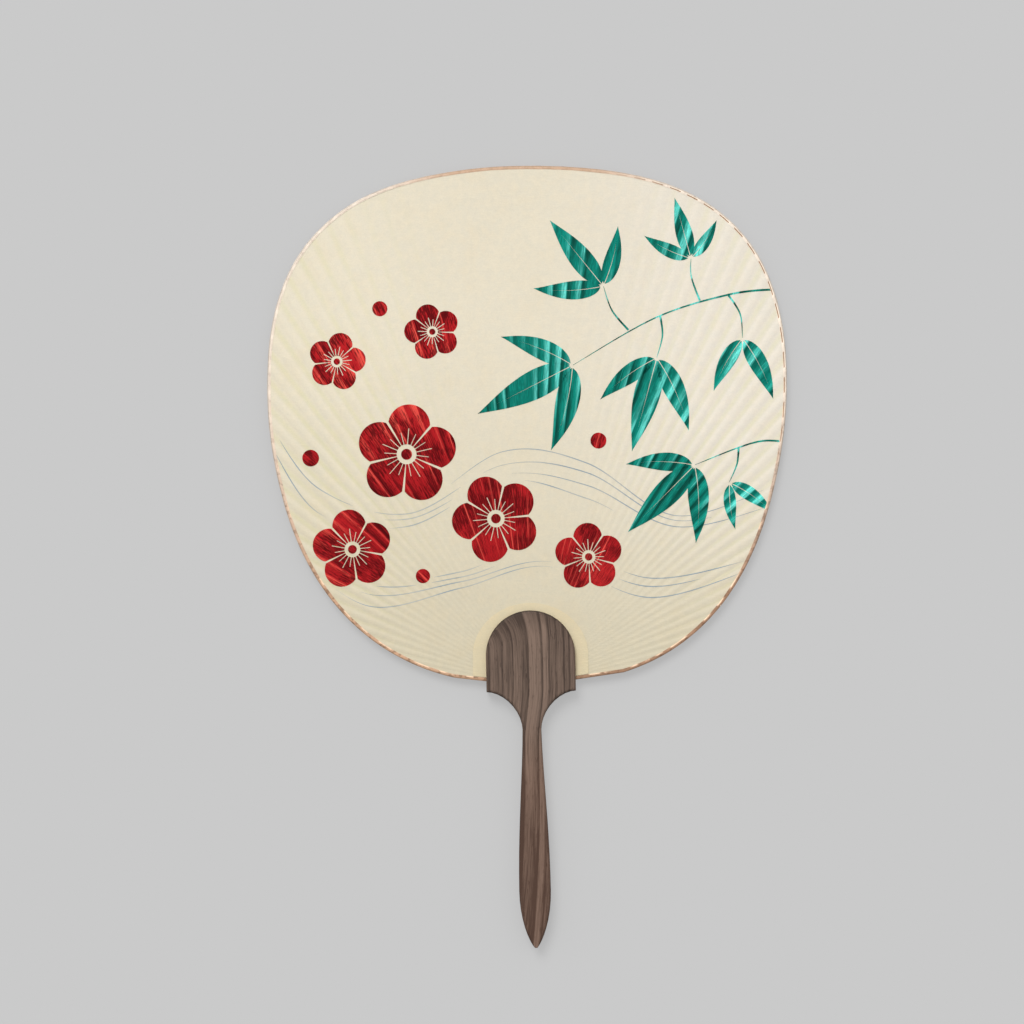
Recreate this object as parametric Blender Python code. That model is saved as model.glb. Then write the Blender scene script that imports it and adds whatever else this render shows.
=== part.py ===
"""Uchiwa: a round paper fan with an inserted wooden handle, lying on its back.

The leaf is two sheets of paper pasted over thin bamboo ribs, which lie side by side like
the spokes of a wheel. A folded strip binds its edge. Its foot is glued into a slot sawn in
the handle's head, between two arched collars of paper.

Frame: metres. +X is across the fan, +Y runs from the handle up the leaf, and +Z from the
back to the front. The origin is on the handle's flat back, straight under the point where
the lines of all the ribs meet.
"""

import math

import bmesh
import bpy

# Handle: one board, with a round head, drawn-in shoulders and a swelling grip
HANDLE_THICKNESS = 0.009
HANDLE_EDGE_ROUND = 0.0014
HEAD_WIDTH = 0.0446
HEAD_CENTRE_RISE = 0.0155
HEAD_CORNER_DROP = 0.0025
SHOULDER_DROP = 0.019
NECK_WIDTH = 0.0094
GRIP_WIDTH = 0.0158
GRIP_DROP = 0.102
TIP_LENGTH = 0.0288
SHOULDER_FULLNESS = 1.8
GRIP_SWELL = 1.45
TIP_FULLNESS = 0.74
TIP_CUT_SHARE = 0.985
NARROW_ROUND_SHARE = 0.45

# Leaf outline: a squarish crown over a longer body, turned a little on the handle
LEAF_WIDTH = 0.2573
LEAF_CROWN = 0.1047
LEAF_BODY = 0.1544
LEAF_BOTTOM_RISE = 0.0008
LEAF_TURN_RISE = 0.107
LEAF_TURN_ANGLE = math.radians(1.1)
CROWN_FULLNESS = 2.46
BODY_FULLNESS = 2.33
LEAF_FOOT_ANGLE = math.radians(82.5)

# Ribs: slips of bamboo, each split into two ribs above a short whole root
SLIP_COUNT = 33
RIBS_PER_SLIP = 2
RIB_SPREAD_ANGLE = math.radians(80.0)
RIB_CROWDING_ANGLE = math.radians(3.0)
SIDE_SPACING_SHARE = 0.17
RIB_THICKNESS = 0.0004
RIB_WIDTH = 0.0015
RIB_ROOT_WIDTH = 0.00035
RIB_TUCK = 0.0035
SLIP_ROOT_LENGTH = 0.004
RIB_END_INSET = 0.001

# Papers: both sheets sink between the ribs where the ribs lie far enough apart
PAPER_THICKNESS = 0.0002
PASTE_GAP = 0.0001
DRAPE_WIDTH = 0.0022
DRAPE_REACH_SHARE = 0.6
MIDDLE_ROW_SHARE = 0.4

# Edge strip: foil-faced paper folded over the rim
STRIP_THICKNESS = 0.00012
STRIP_LAP = 0.0015
STRIP_STEPS = 150
FOLD_STEPS = 4

# Collars: one arch of paper on each side, tucked under the head
COLLAR_SIDE_BAND = 0.0065
COLLAR_TOP_BAND = 0.0037
COLLAR_TUCK = 0.003
COLLAR_THICKNESS = 0.0002

# Fits
SEAT_GAP = 0.0003
CUT_OVERRUN = 0.002

# Smoothness of curves
ARC_STEPS = 14
SHOULDER_STEPS = 9
GRIP_STEPS = 9
TIP_STEPS = 9
ROUND_STEPS = 3

LEAF_MIDDLE = HANDLE_THICKNESS / 2
RIB_ROOT_RADIUS = HEAD_WIDTH / 2 - RIB_TUCK
CREST_HEIGHT = RIB_THICKNESS / 2 + PASTE_GAP
VALLEY_HEIGHT = PASTE_GAP / 2
STRIP_HEIGHT = CREST_HEIGHT + PAPER_THICKNESS + PASTE_GAP
SLOT_HEIGHT = 2 * (STRIP_HEIGHT + COLLAR_THICKNESS + PASTE_GAP)


def clear_scene():
    for old in list(bpy.data.objects):
        bpy.data.objects.remove(old, do_unlink=True)


def make_material(name, colour, roughness, metallic=0.0):
    material = bpy.data.materials.new(name)
    material.use_nodes = True
    shader = material.node_tree.nodes["Principled BSDF"]
    shader.inputs["Base Color"].default_value = (*colour, 1.0)
    shader.inputs["Roughness"].default_value = roughness
    shader.inputs["Metallic"].default_value = metallic
    material.diffuse_color = (*colour, 1.0)
    return material


def make_object(name, vertices, faces, material, parent=None):
    """A closed mesh object whose faces point outwards."""
    mesh = bpy.data.meshes.new(name)
    mesh.from_pydata(vertices, [], faces)
    work = bmesh.new()
    work.from_mesh(mesh)
    bmesh.ops.recalc_face_normals(work, faces=work.faces)
    work.to_mesh(mesh)
    work.free()
    mesh.materials.append(material)
    item = bpy.data.objects.new(name, mesh)
    item.parent = parent
    bpy.context.collection.objects.link(item)
    return item


def make_plate(name, outline, low, high, material, parent=None):
    """A flat piece: an outline in the XY plane between two heights."""
    count = len(outline)
    vertices = [(x, y, low) for x, y in outline] + [(x, y, high) for x, y in outline]
    faces = [tuple(range(count)), tuple(range(count, 2 * count))]
    for index in range(count):
        after = (index + 1) % count
        faces.append((index, after, count + after, count + index))
    return make_object(name, vertices, faces, material, parent)


def skin_rings(rings, closed_ring):
    """Faces that join each ring of points to the next one, numbered ring by ring."""
    size = len(rings[0])
    steps = size if closed_ring else size - 1
    faces = []
    for ring in range(len(rings) - 1):
        for index in range(steps):
            after = (index + 1) % size
            near, far = ring * size, (ring + 1) * size
            faces.append((near + index, near + after, far + after, far + index))
    return faces


# Handle


def head_side():
    """Right half of the head: its round top and straight side, from the top down."""
    radius = HEAD_WIDTH / 2
    points = []
    for step in range(ARC_STEPS + 1):
        angle = math.pi / 2 * step / ARC_STEPS
        points.append((radius * math.sin(angle), HEAD_CENTRE_RISE + radius * math.cos(angle)))
    points.append((radius, -HEAD_CORNER_DROP))
    return points


def shoulder_side():
    """Hollow curve from the head's corner into the neck."""
    across = (HEAD_WIDTH - NECK_WIDTH) / 2
    points = []
    for step in range(1, SHOULDER_STEPS + 1):
        angle = math.pi / 2 * step / SHOULDER_STEPS
        inward = math.sin(angle) ** (2 / SHOULDER_FULLNESS)
        upward = math.cos(angle) ** (2 / SHOULDER_FULLNESS)
        drop = HEAD_CORNER_DROP + SHOULDER_DROP * (1 - upward)
        points.append((HEAD_WIDTH / 2 - across * inward, -drop))
    return points


def grip_side():
    """Slow swelling from the neck to the widest part of the grip."""
    start = HEAD_CORNER_DROP + SHOULDER_DROP
    points = []
    for step in range(1, GRIP_STEPS + 1):
        along = step / GRIP_STEPS
        swell = math.sin(math.pi / 2 * along) ** GRIP_SWELL
        half = (NECK_WIDTH + (GRIP_WIDTH - NECK_WIDTH) * swell) / 2
        points.append((half, -(start + (GRIP_DROP - start) * along)))
    return points


def tip_side():
    """Leaf-shaped end of the grip, cut just short of its point."""
    points = []
    for step in range(1, TIP_STEPS + 1):
        along = TIP_CUT_SHARE * math.sin(math.pi / 2 * step / TIP_STEPS)
        half = GRIP_WIDTH / 2 * (1 - along ** 2) ** TIP_FULLNESS
        points.append((half, -(GRIP_DROP + TIP_LENGTH * along)))
    return points


def handle_outline():
    right = head_side() + shoulder_side() + grip_side() + tip_side()
    left = [(-x, y) for x, y in reversed(right[1:])]
    return right + left


def inset_outline(outline, shares):
    """The outline drawn in, at each point, by a share of the edge's own rounding."""
    count = len(outline)
    drawn = []
    for index, (x, y) in enumerate(outline):
        before = outline[index - 1]
        after = outline[(index + 1) % count]
        normals = []
        for (ax, ay), (bx, by) in ((before, (x, y)), ((x, y), after)):
            length = math.hypot(bx - ax, by - ay)
            normals.append(((by - ay) / length, -(bx - ax) / length))
        sum_x = normals[0][0] + normals[1][0]
        sum_y = normals[0][1] + normals[1][1]
        length = math.hypot(sum_x, sum_y)
        mitre = 2 / length
        depth = shares[index] * mitre / length
        drawn.append((x + sum_x * depth, y + sum_y * depth))
    return drawn


def build_handle(material):
    outline = handle_outline()
    rounds = [
        HANDLE_EDGE_ROUND if y > -GRIP_DROP else min(HANDLE_EDGE_ROUND, NARROW_ROUND_SHARE * abs(x))
        for x, y in outline
    ]
    levels = []
    for step in range(ROUND_STEPS + 1):
        angle = math.pi / 2 * step / ROUND_STEPS
        levels.append((1 - math.sin(angle), 1 - math.cos(angle)))
    rings = []
    for inset, rise in levels:
        drawn = inset_outline(outline, [inset * size for size in rounds])
        rings.append([(x, y, rise * size) for (x, y), size in zip(drawn, rounds)])
    for inset, rise in reversed(levels):
        drawn = inset_outline(outline, [inset * size for size in rounds])
        rings.append([(x, y, HANDLE_THICKNESS - rise * size) for (x, y), size in zip(drawn, rounds)])
    size = len(outline)
    vertices = [point for ring in rings for point in ring]
    faces = skin_rings(rings, True)
    faces.append(tuple(range(size)))
    faces.append(tuple(range(len(vertices) - size, len(vertices))))
    handle = make_object("handle", vertices, faces, material)
    cut_slot(handle, material)
    return handle


def cut_slot(handle, material):
    """The saw cut that takes the leaf's foot, open at the head's top and sides."""
    half = HEAD_WIDTH / 2 + CUT_OVERRUN
    top = HEAD_CENTRE_RISE + HEAD_WIDTH / 2 + CUT_OVERRUN
    outline = [(-half, -SEAT_GAP), (half, -SEAT_GAP), (half, top), (-half, top)]
    low = LEAF_MIDDLE - SLOT_HEIGHT / 2
    cutter = make_plate("slot_cutter", outline, low, low + SLOT_HEIGHT, material)
    cutter.hide_render = True
    cutter.display_type = "WIRE"
    cut = handle.modifiers.new("slot", "BOOLEAN")
    cut.operation = "DIFFERENCE"
    cut.object = cutter


# Leaf


def inside_leaf(x, y):
    """True where a point lies inside the leaf's outline."""
    turn_sin, turn_cos = math.sin(LEAF_TURN_ANGLE), math.cos(LEAF_TURN_ANGLE)
    up = y - LEAF_TURN_RISE
    across = turn_cos * x - turn_sin * up
    along = turn_sin * x + turn_cos * up + LEAF_TURN_RISE - LEAF_BOTTOM_RISE - LEAF_BODY
    height = LEAF_CROWN if along > 0 else LEAF_BODY
    fullness = CROWN_FULLNESS if along > 0 else BODY_FULLNESS
    return abs(2 * across / LEAF_WIDTH) ** fullness + abs(along / height) ** fullness <= 1


def leaf_reach(angle):
    """Distance from the ribs' meeting point to the leaf's edge, at an angle from +Y."""
    near, far = HEAD_WIDTH / 2, LEAF_WIDTH + LEAF_BODY
    while far - near > PASTE_GAP / 1000:
        middle = (near + far) / 2
        if inside_leaf(middle * math.sin(angle), middle * math.cos(angle)):
            near = middle
        else:
            far = middle
    return near


def polar(angle, radius):
    return radius * math.sin(angle), radius * math.cos(angle)


def rib_angles():
    """Angles of the ribs from +Y: close in the middle of the leaf, wider at its sides."""
    count = SLIP_COUNT * RIBS_PER_SLIP
    angles = []
    for index in range(count):
        place = 2 * index / (count - 1) - 1
        spread = place * (1 - SIDE_SPACING_SHARE) + SIDE_SPACING_SHARE * place ** 3
        angles.append(RIB_SPREAD_ANGLE * spread + RIB_CROWDING_ANGLE * (1 - place ** 2))
    return angles


def rib_width(radius, reach):
    """A rib widens steadily from its root to the leaf's edge."""
    along = (radius - RIB_ROOT_RADIUS) / (reach - RIB_ROOT_RADIUS)
    return RIB_ROOT_WIDTH + (RIB_WIDTH - RIB_ROOT_WIDTH) * along


def beside_rib(angle, radius, offset):
    """A point at a radius along a rib, moved sideways."""
    x, y = polar(angle, radius)
    return x + offset * math.cos(angle), y - offset * math.sin(angle)


def slip_outline(angles):
    """A whole root that carries one rib for each angle."""
    crotch = RIB_ROOT_RADIUS + SLIP_ROOT_LENGTH
    points = []
    for index, angle in enumerate(angles):
        reach = leaf_reach(angle)
        start = RIB_ROOT_RADIUS if index == 0 else crotch
        end = RIB_ROOT_RADIUS if index == len(angles) - 1 else crotch
        points.append(beside_rib(angle, start, -rib_width(start, reach) / 2))
        for side in (-1, 1):
            corner = angle + side * math.atan2(RIB_WIDTH / 2, reach)
            points.append(polar(corner, leaf_reach(corner) - RIB_END_INSET))
        points.append(beside_rib(angle, end, rib_width(end, reach) / 2))
    return points


def build_ribs(material, parent):
    angles = rib_angles()
    for index in range(SLIP_COUNT):
        pair = angles[index * RIBS_PER_SLIP:(index + 1) * RIBS_PER_SLIP]
        name = f"rib_slip_{index + 1:02d}"
        make_plate(name, slip_outline(pair), -RIB_THICKNESS / 2, RIB_THICKNESS / 2, material, parent)


def paper_column(angle, place, gap_before, gap_after):
    """One line of the paper beside a rib, as (x, y, height) at its rows.

    place is -2 and 2 for the lines where the paper leaves the valleys, and -1 and 1 for the
    two long edges of the crest. The gaps are the angles to the neighbouring ribs.
    """
    reach = leaf_reach(angle)
    row_shares = (0, MIDDLE_ROW_SHARE, 1)
    column = []
    for share in row_shares:
        radius = RIB_ROOT_RADIUS + (reach - RIB_ROOT_RADIUS) * share
        crest_half = rib_width(radius, reach) / 2 + PASTE_GAP
        free_half = radius * (gap_after if place > 0 else gap_before) / 2 - crest_half
        run = min(DRAPE_WIDTH, DRAPE_REACH_SHARE * free_half)
        sink = (CREST_HEIGHT - VALLEY_HEIGHT) * run / DRAPE_WIDTH
        offset = crest_half if abs(place) == 1 else crest_half + run
        height = CREST_HEIGHT if abs(place) == 1 else CREST_HEIGHT - sink
        side_angle = angle + math.copysign(math.atan2(offset, radius), place)
        edge = leaf_reach(side_angle) if share == 1 else radius
        column.append((*polar(side_angle, edge), height))
    return column


def foot_column(angle):
    """The sheet's straight foot, beyond the last rib on one side."""
    reach = leaf_reach(angle)
    column = []
    for share in (0, MIDDLE_ROW_SHARE, 1):
        radius = RIB_ROOT_RADIUS + (reach - RIB_ROOT_RADIUS) * share
        column.append((*polar(angle, radius), CREST_HEIGHT))
    return column


def paper_columns():
    angles = rib_angles()
    columns = [foot_column(-LEAF_FOOT_ANGLE)]
    for index, angle in enumerate(angles):
        before = angles[index - 1] if index else -LEAF_FOOT_ANGLE * 2 - angle
        after = angles[index + 1] if index + 1 < len(angles) else LEAF_FOOT_ANGLE * 2 - angle
        for place in (-2, -1, 1, 2):
            columns.append(paper_column(angle, place, angle - before, after - angle))
    columns.append(foot_column(LEAF_FOOT_ANGLE))
    return columns


def build_paper(name, side, material, parent):
    """A sheet draped over the ribs: side is 1 for the front and -1 for the back."""
    columns = paper_columns()
    rows = len(columns[0])
    shells = []
    for lift in (0, PAPER_THICKNESS):
        foot = (0, 0, side * (VALLEY_HEIGHT + lift))
        shells.append([foot] + [(x, y, side * (z + lift)) for column in columns for x, y, z in column])
    size = len(shells[0])
    faces = []
    for base in (0, size):
        for column in range(len(columns) - 1):
            near, far = base + 1 + column * rows, base + 1 + (column + 1) * rows
            faces.append((base, near, far))
            for row in range(rows - 1):
                faces.append((near + row, near + row + 1, far + row + 1, far + row))
    last = (len(columns) - 1) * rows
    border = [0] + list(range(1, rows + 1))
    border += [rows * (column + 1) for column in range(1, len(columns))]
    border += [last + row for row in range(rows - 1, 0, -1)]
    for index, start in enumerate(border):
        end = border[(index + 1) % len(border)]
        faces.append((start, end, size + end, size + start))
    return make_object(name, shells[0] + shells[1], faces, material, parent)


# Edge strip and collars


def rim_path():
    """The leaf's edge from the head's left side round to its right side."""
    tucked = (HEAD_WIDTH / 2 - COLLAR_TUCK) / math.sin(LEAF_FOOT_ANGLE)
    path = [polar(-LEAF_FOOT_ANGLE, tucked)]
    for step in range(STRIP_STEPS + 1):
        angle = LEAF_FOOT_ANGLE * (2 * step / STRIP_STEPS - 1)
        path.append(polar(angle, leaf_reach(angle)))
    path.append(polar(LEAF_FOOT_ANGLE, tucked))
    return path


def strip_section():
    """The folded strip as (outward, height) points: outside of the fold, then inside."""
    section = []
    for thickness, order in ((STRIP_THICKNESS, 1), (0, -1)):
        half = STRIP_HEIGHT + thickness
        bulge = PASTE_GAP + thickness
        layer = [(-STRIP_LAP, half)]
        for step in range(FOLD_STEPS + 1):
            angle = math.pi / 2 - math.pi * step / FOLD_STEPS
            layer.append((bulge * math.cos(angle), half * math.sin(angle)))
        layer.append((-STRIP_LAP, -half))
        section += layer[::order]
    return section


def build_strip(material, parent):
    path = rim_path()
    section = strip_section()
    rings = []
    for index, (x, y) in enumerate(path):
        before = path[max(index - 1, 0)]
        after = path[min(index + 1, len(path) - 1)]
        length = math.hypot(after[0] - before[0], after[1] - before[1])
        normal_x = -(after[1] - before[1]) / length
        normal_y = (after[0] - before[0]) / length
        rings.append([(x + out * normal_x, y + out * normal_y, height) for out, height in section])
    size = len(section)
    vertices = [point for ring in rings for point in ring]
    faces = skin_rings(rings, True)
    faces.append(tuple(range(size)))
    faces.append(tuple(range(len(vertices) - size, len(vertices))))
    return make_object("rim_strip", vertices, faces, material, parent)


def collar_outline():
    """An arch about the head's centre whose feet stand on the edge strip."""
    arch = []
    for side_band, top_band in ((COLLAR_SIDE_BAND, COLLAR_TOP_BAND), (-COLLAR_TUCK, -COLLAR_TUCK)):
        across = HEAD_WIDTH / 2 + side_band
        rise = HEAD_WIDTH / 2 + top_band
        foot = across / math.tan(LEAF_FOOT_ANGLE) + (STRIP_LAP + SEAT_GAP) / math.sin(LEAF_FOOT_ANGLE)
        line = [(-across, foot)]
        for step in range(2 * ARC_STEPS + 1):
            angle = math.pi / 2 * (step / ARC_STEPS - 1)
            line.append((across * math.sin(angle), HEAD_CENTRE_RISE + rise * math.cos(angle)))
        line.append((across, foot))
        arch.append(line)
    return arch[0] + arch[1][::-1]


def build_collar(name, side, material, parent):
    near = side * (CREST_HEIGHT + PAPER_THICKNESS + PASTE_GAP)
    far = near + side * COLLAR_THICKNESS
    return make_plate(name, collar_outline(), near, far, material, parent)


def build_fan():
    clear_scene()
    wood = make_material("cedar", (0.19, 0.14, 0.115), 0.6)
    bamboo = make_material("bamboo", (0.67, 0.51, 0.26), 0.55)
    paper = make_material("leaf_paper", (0.80, 0.74, 0.56), 0.85)
    collar_paper = make_material("collar_paper", (0.85, 0.76, 0.46), 0.85)
    foil = make_material("copper_foil", (0.61, 0.35, 0.21), 0.3, 1.0)

    build_handle(wood)
    leaf = bpy.data.objects.new("leaf_middle", None)
    leaf.location = (0, 0, LEAF_MIDDLE)
    bpy.context.collection.objects.link(leaf)
    build_ribs(bamboo, leaf)
    build_paper("front_paper", 1, paper, leaf)
    build_paper("back_paper", -1, paper, leaf)
    build_strip(foil, leaf)
    build_collar("front_collar", 1, collar_paper, leaf)
    build_collar("back_collar", -1, collar_paper, leaf)


build_fan()
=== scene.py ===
"""Looks of a paper fan: draped leaf, stamped foil figures, bound edge and cedar handle.

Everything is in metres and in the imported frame: +X across the fan, +Y from the handle up the
leaf, +Z from the back to the front, with the origin where the lines of the ribs meet.
"""

import math

import bmesh
import bpy
import numpy as np
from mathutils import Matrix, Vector
from mathutils.geometry import delaunay_2d_cdt


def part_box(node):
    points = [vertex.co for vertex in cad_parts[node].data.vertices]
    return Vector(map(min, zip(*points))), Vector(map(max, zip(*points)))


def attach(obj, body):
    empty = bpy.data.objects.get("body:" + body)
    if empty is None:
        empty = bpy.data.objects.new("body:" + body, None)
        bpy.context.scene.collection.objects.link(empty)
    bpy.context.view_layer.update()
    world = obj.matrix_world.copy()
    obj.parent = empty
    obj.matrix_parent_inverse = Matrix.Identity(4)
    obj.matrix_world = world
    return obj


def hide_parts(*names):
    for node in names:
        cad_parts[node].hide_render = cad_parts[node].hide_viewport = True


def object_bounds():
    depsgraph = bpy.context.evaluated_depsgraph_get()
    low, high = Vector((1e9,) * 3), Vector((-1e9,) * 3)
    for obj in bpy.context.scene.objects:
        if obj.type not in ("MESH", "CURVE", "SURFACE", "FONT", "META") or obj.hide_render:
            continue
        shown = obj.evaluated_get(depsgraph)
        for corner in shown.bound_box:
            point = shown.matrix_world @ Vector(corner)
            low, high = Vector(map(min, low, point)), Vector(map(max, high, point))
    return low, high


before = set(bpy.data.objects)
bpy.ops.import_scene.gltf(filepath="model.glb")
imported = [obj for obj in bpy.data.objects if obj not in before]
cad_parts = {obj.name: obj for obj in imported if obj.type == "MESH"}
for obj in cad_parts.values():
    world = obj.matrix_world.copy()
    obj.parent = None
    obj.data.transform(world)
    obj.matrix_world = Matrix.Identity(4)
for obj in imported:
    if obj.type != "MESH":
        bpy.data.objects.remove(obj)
CAD_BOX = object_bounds()

# Sizes of the leaf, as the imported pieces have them
HANDLE_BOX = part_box("handle")
LEAF_MIDDLE = (HANDLE_BOX[0].z + HANDLE_BOX[1].z) / 2
HEAD_WIDTH = HANDLE_BOX[1].x - HANDLE_BOX[0].x
HEAD_CENTRE_RISE = HANDLE_BOX[1].y - HEAD_WIDTH / 2
LEAF_WIDTH = 0.2573
LEAF_CROWN = 0.1047
LEAF_BODY = 0.1544
LEAF_BOTTOM_RISE = 0.0008
LEAF_TURN_RISE = 0.107
LEAF_TURN = math.radians(1.1)
CROWN_FULLNESS = 2.46
BODY_FULLNESS = 2.33
FOOT_ANGLE = math.radians(82.5)
# Where the hand-cut edge leaves that outline: direction from the leaf's middle, half the angle of
# the stretch, and how far it lies outside
EDGE_MIDDLE_RISE = 0.128
EDGE_SWELLS = (
    (-82, 24, 0.0011),
    (-19, 20, -0.0009),
    (42, 30, 0.0017),
    (82, 24, 0.0011),
    (142, 36, 0.0013),
)

# Ribs and the paper's drape over them
RIB_COUNT = 66
RIB_SPREAD = math.radians(80)
RIB_CROWDING = math.radians(3)
SIDE_SPACING = 0.17
RIB_TUCK = 0.0035
RIB_ROOT_RADIUS = HEAD_WIDTH / 2 - RIB_TUCK
RIB_ROOT_WIDTH = 0.00035
RIB_WIDTH = 0.0015
RIB_TAPER_REACH = 0.2
PASTE_GAP = 0.0001
CREST_HEIGHT = 0.0003
VALLEY_HEIGHT = 0.00005
DRAPE_WIDTH = 0.0022
DRAPE_REACH = 0.95
COCKLE_HEIGHT = 0.00009
SHEET_SEED = 3.0
PAPER_THICKNESS = 0.0002

# Edge strip and collars
STRIP_THICKNESS = 0.00007
STRIP_LAP = 0.00155
STRIP_DOME = 0.00004
STRIP_CRIMP = 0.00022
# How far each piece bridges the valleys between ribs, from 0 to 1
STRIP_STIFFNESS = 0.7
FOLD_STIFFNESS = 0.6
COLLAR_STIFFNESS = 0.3
COLLAR_SIDE_BAND = 0.0065
COLLAR_TOP_BAND = 0.0037
COLLAR_TUCK = 0.003
COLLAR_THICKNESS = 0.0002
SEAT_GAP = 0.0003

# Camera: straight above the leaf, turned with it
LENS = 100
SENSOR = 36
PHOTO_SIZE = 1024
METRES_PER_PIXEL = 0.0005
TURN_PIXEL = (527, 472)

# Fineness of the meshes. The thin figures have the closest rows, so that nothing cuts them
DRAPE_SHARES = (0, 0.25, 0.5, 0.75, 1)
FRONT_ROWS = 46
FIGURE_ROWS = 180
BACK_ROWS = 26
FOOT_ROWS = 3
FOOT_RADIUS = 0.008
EDGE_HALVINGS = 24
EDGE_STEPS = 3301
RIM_STEPS = 2400
STRIP_STEP = 0.0007
STRIP_SHARES = (1, 0.88, 0.72, 0.55, 0.38, 0.2, 0.06)
FOLD_ANGLES = (60, 30, 0, -30, -60)
COLLAR_ROWS = 9
COLLAR_TURN_STEPS = 360
COLLAR_LEG_STEPS = 24
OUTLINE_STEP = 0.0007
MERGE_DISTANCE = 1e-6
CUT_ACCURACY = 1e-7
FLAT_ANGLE = 0.001
SHEET_SHARP_ANGLE = math.radians(50)
BOARD_SHARP_ANGLE = math.radians(40)


def srgb(red, green, blue):
    """A colour read off a screen, as the linear colour that a shader takes."""
    shares = (channel / 255 for channel in (red, green, blue))
    return (*(c / 12.92 if c < 0.04045 else ((c + 0.055) / 1.055) ** 2.4 for c in shares), 1)


class Wire:
    """A node's output that can stand in a Python sum."""

    def __init__(self, nodes, socket):
        self.nodes = nodes
        self.socket = socket

    def __add__(self, other):
        return self.nodes.maths("ADD", self, other)

    def __sub__(self, other):
        return self.nodes.maths("SUBTRACT", self, other)

    def __rsub__(self, other):
        return self.nodes.maths("SUBTRACT", other, self)

    def __mul__(self, other):
        return self.nodes.maths("MULTIPLY", self, other)

    def __truediv__(self, other):
        return self.nodes.maths("DIVIDE", self, other)

    def __pow__(self, other):
        return self.nodes.maths("POWER", self, other)

    def __abs__(self):
        return self.nodes.maths("ABSOLUTE", self)

    __radd__ = __add__
    __rmul__ = __mul__


class Nodes:
    """A shader or geometry tree, built node by node."""

    def __init__(self, tree):
        self.tree = tree

    def add(self, kind, settings=None, sockets=None, output=0):
        """A node with its settings, then its socket values or links. Gives one of its outputs."""
        node = self.tree.nodes.new(kind)
        for name, value in (settings or {}).items():
            if name == "stops":
                self.set_stops(node.color_ramp, value)
            else:
                setattr(node, name, value)
        for key, value in (sockets or {}).items():
            if isinstance(value, Wire):
                self.tree.links.new(value.socket, node.inputs[key])
            else:
                node.inputs[key].default_value = value
        return Wire(self, node.outputs[output]) if node.outputs else None

    @staticmethod
    def set_stops(ramp, stops):
        """Gives a colour ramp its stops, from pairs of place and colour."""
        while len(ramp.elements) < len(stops):
            ramp.elements.new(1)
        for element, (place, colour) in zip(ramp.elements, stops):
            element.position = place
            element.color = colour

    def maths(self, operation, *values):
        return self.add("ShaderNodeMath", {"operation": operation}, dict(enumerate(values)))

    def limit(self, value, low, high):
        return self.add("ShaderNodeClamp", None, {0: value, 1: low, 2: high})

    def smooth_step(self, value, low, high):
        settings = {"interpolation_type": "SMOOTHSTEP"}
        return self.add("ShaderNodeMapRange", settings, {0: value, 1: low, 2: high})

    def blend(self, factor, first, second, kind="MIX"):
        """A colour between two colours, or the first seen through the second."""
        settings = {"data_type": "RGBA", "blend_type": kind}
        return self.add("ShaderNodeMix", settings, {0: factor, 6: first, 7: second}, 2)

    def tint(self, colour, factor):
        """A colour made lighter or darker by a number."""
        settings = {"operation": "SCALE"}
        return self.add("ShaderNodeVectorMath", settings, {0: colour, "Scale": factor})

    def split(self, vector):
        parts = self.add("ShaderNodeSeparateXYZ", None, {0: vector})
        return [Wire(self, socket) for socket in parts.socket.node.outputs]

    def join(self, x, y, z):
        return self.add("ShaderNodeCombineXYZ", None, {0: x, 1: y, 2: z})

    def noise(self, vector, scale, detail=2.0, roughness=0.5):
        sockets = {"Vector": vector, "Scale": scale, "Detail": detail, "Roughness": roughness}
        return self.add("ShaderNodeTexNoise", None, sockets)

    def chance(self, number):
        """A fixed random number for each whole number."""
        return self.add("ShaderNodeTexWhiteNoise", {"noise_dimensions": "1D"}, {"W": number})


# The leaf's plan, worked out with numpy


def edge_swell(turn):
    """How far the cut edge lies outside the smooth outline, in a direction from the middle."""
    swell = 0
    for middle, half, outward in EDGE_SWELLS:
        share = np.clip((np.degrees(turn) - middle) / half, -1, 1)
        swell = swell + outward * (1 + np.cos(math.pi * share)) / 2
    return swell


def inside_leaf(x, y):
    """True where a point lies inside the leaf's outline."""
    turn = np.arctan2(x, y - EDGE_MIDDLE_RISE)
    swell = edge_swell(turn)
    x = x - swell * np.sin(turn)
    y = y - swell * np.cos(turn)
    up = y - LEAF_TURN_RISE
    across = math.cos(LEAF_TURN) * x - math.sin(LEAF_TURN) * up
    along = math.sin(LEAF_TURN) * x + math.cos(LEAF_TURN) * up
    along += LEAF_TURN_RISE - LEAF_BOTTOM_RISE - LEAF_BODY
    crown = along > 0
    height = np.where(crown, LEAF_CROWN, LEAF_BODY)
    fullness = np.where(crown, CROWN_FULLNESS, BODY_FULLNESS)
    return np.abs(2 * across / LEAF_WIDTH) ** fullness + np.abs(along / height) ** fullness <= 1


def measure_reaches(angles):
    """Distance from the ribs' meeting point to the leaf's edge, by halving the doubt."""
    near = np.full(len(angles), HEAD_WIDTH / 2)
    far = np.full(len(angles), LEAF_WIDTH + LEAF_BODY)
    for _ in range(EDGE_HALVINGS):
        middle = (near + far) / 2
        inside = inside_leaf(middle * np.sin(angles), middle * np.cos(angles))
        near = np.where(inside, middle, near)
        far = np.where(inside, far, middle)
    return near


REACH_ANGLES = np.linspace(-FOOT_ANGLE, FOOT_ANGLE, EDGE_STEPS)
REACHES = measure_reaches(REACH_ANGLES)


def leaf_reach(angle):
    return np.interp(angle, REACH_ANGLES, REACHES)


def rib_angles():
    """Each rib's direction. Ribs stand closer up the middle, and a little closer on the right."""
    place = np.linspace(-1, 1, RIB_COUNT)
    spread = place * (1 - SIDE_SPACING) + SIDE_SPACING * place ** 3
    return RIB_SPREAD * spread + RIB_CROWDING * (1 - place ** 2)


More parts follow.
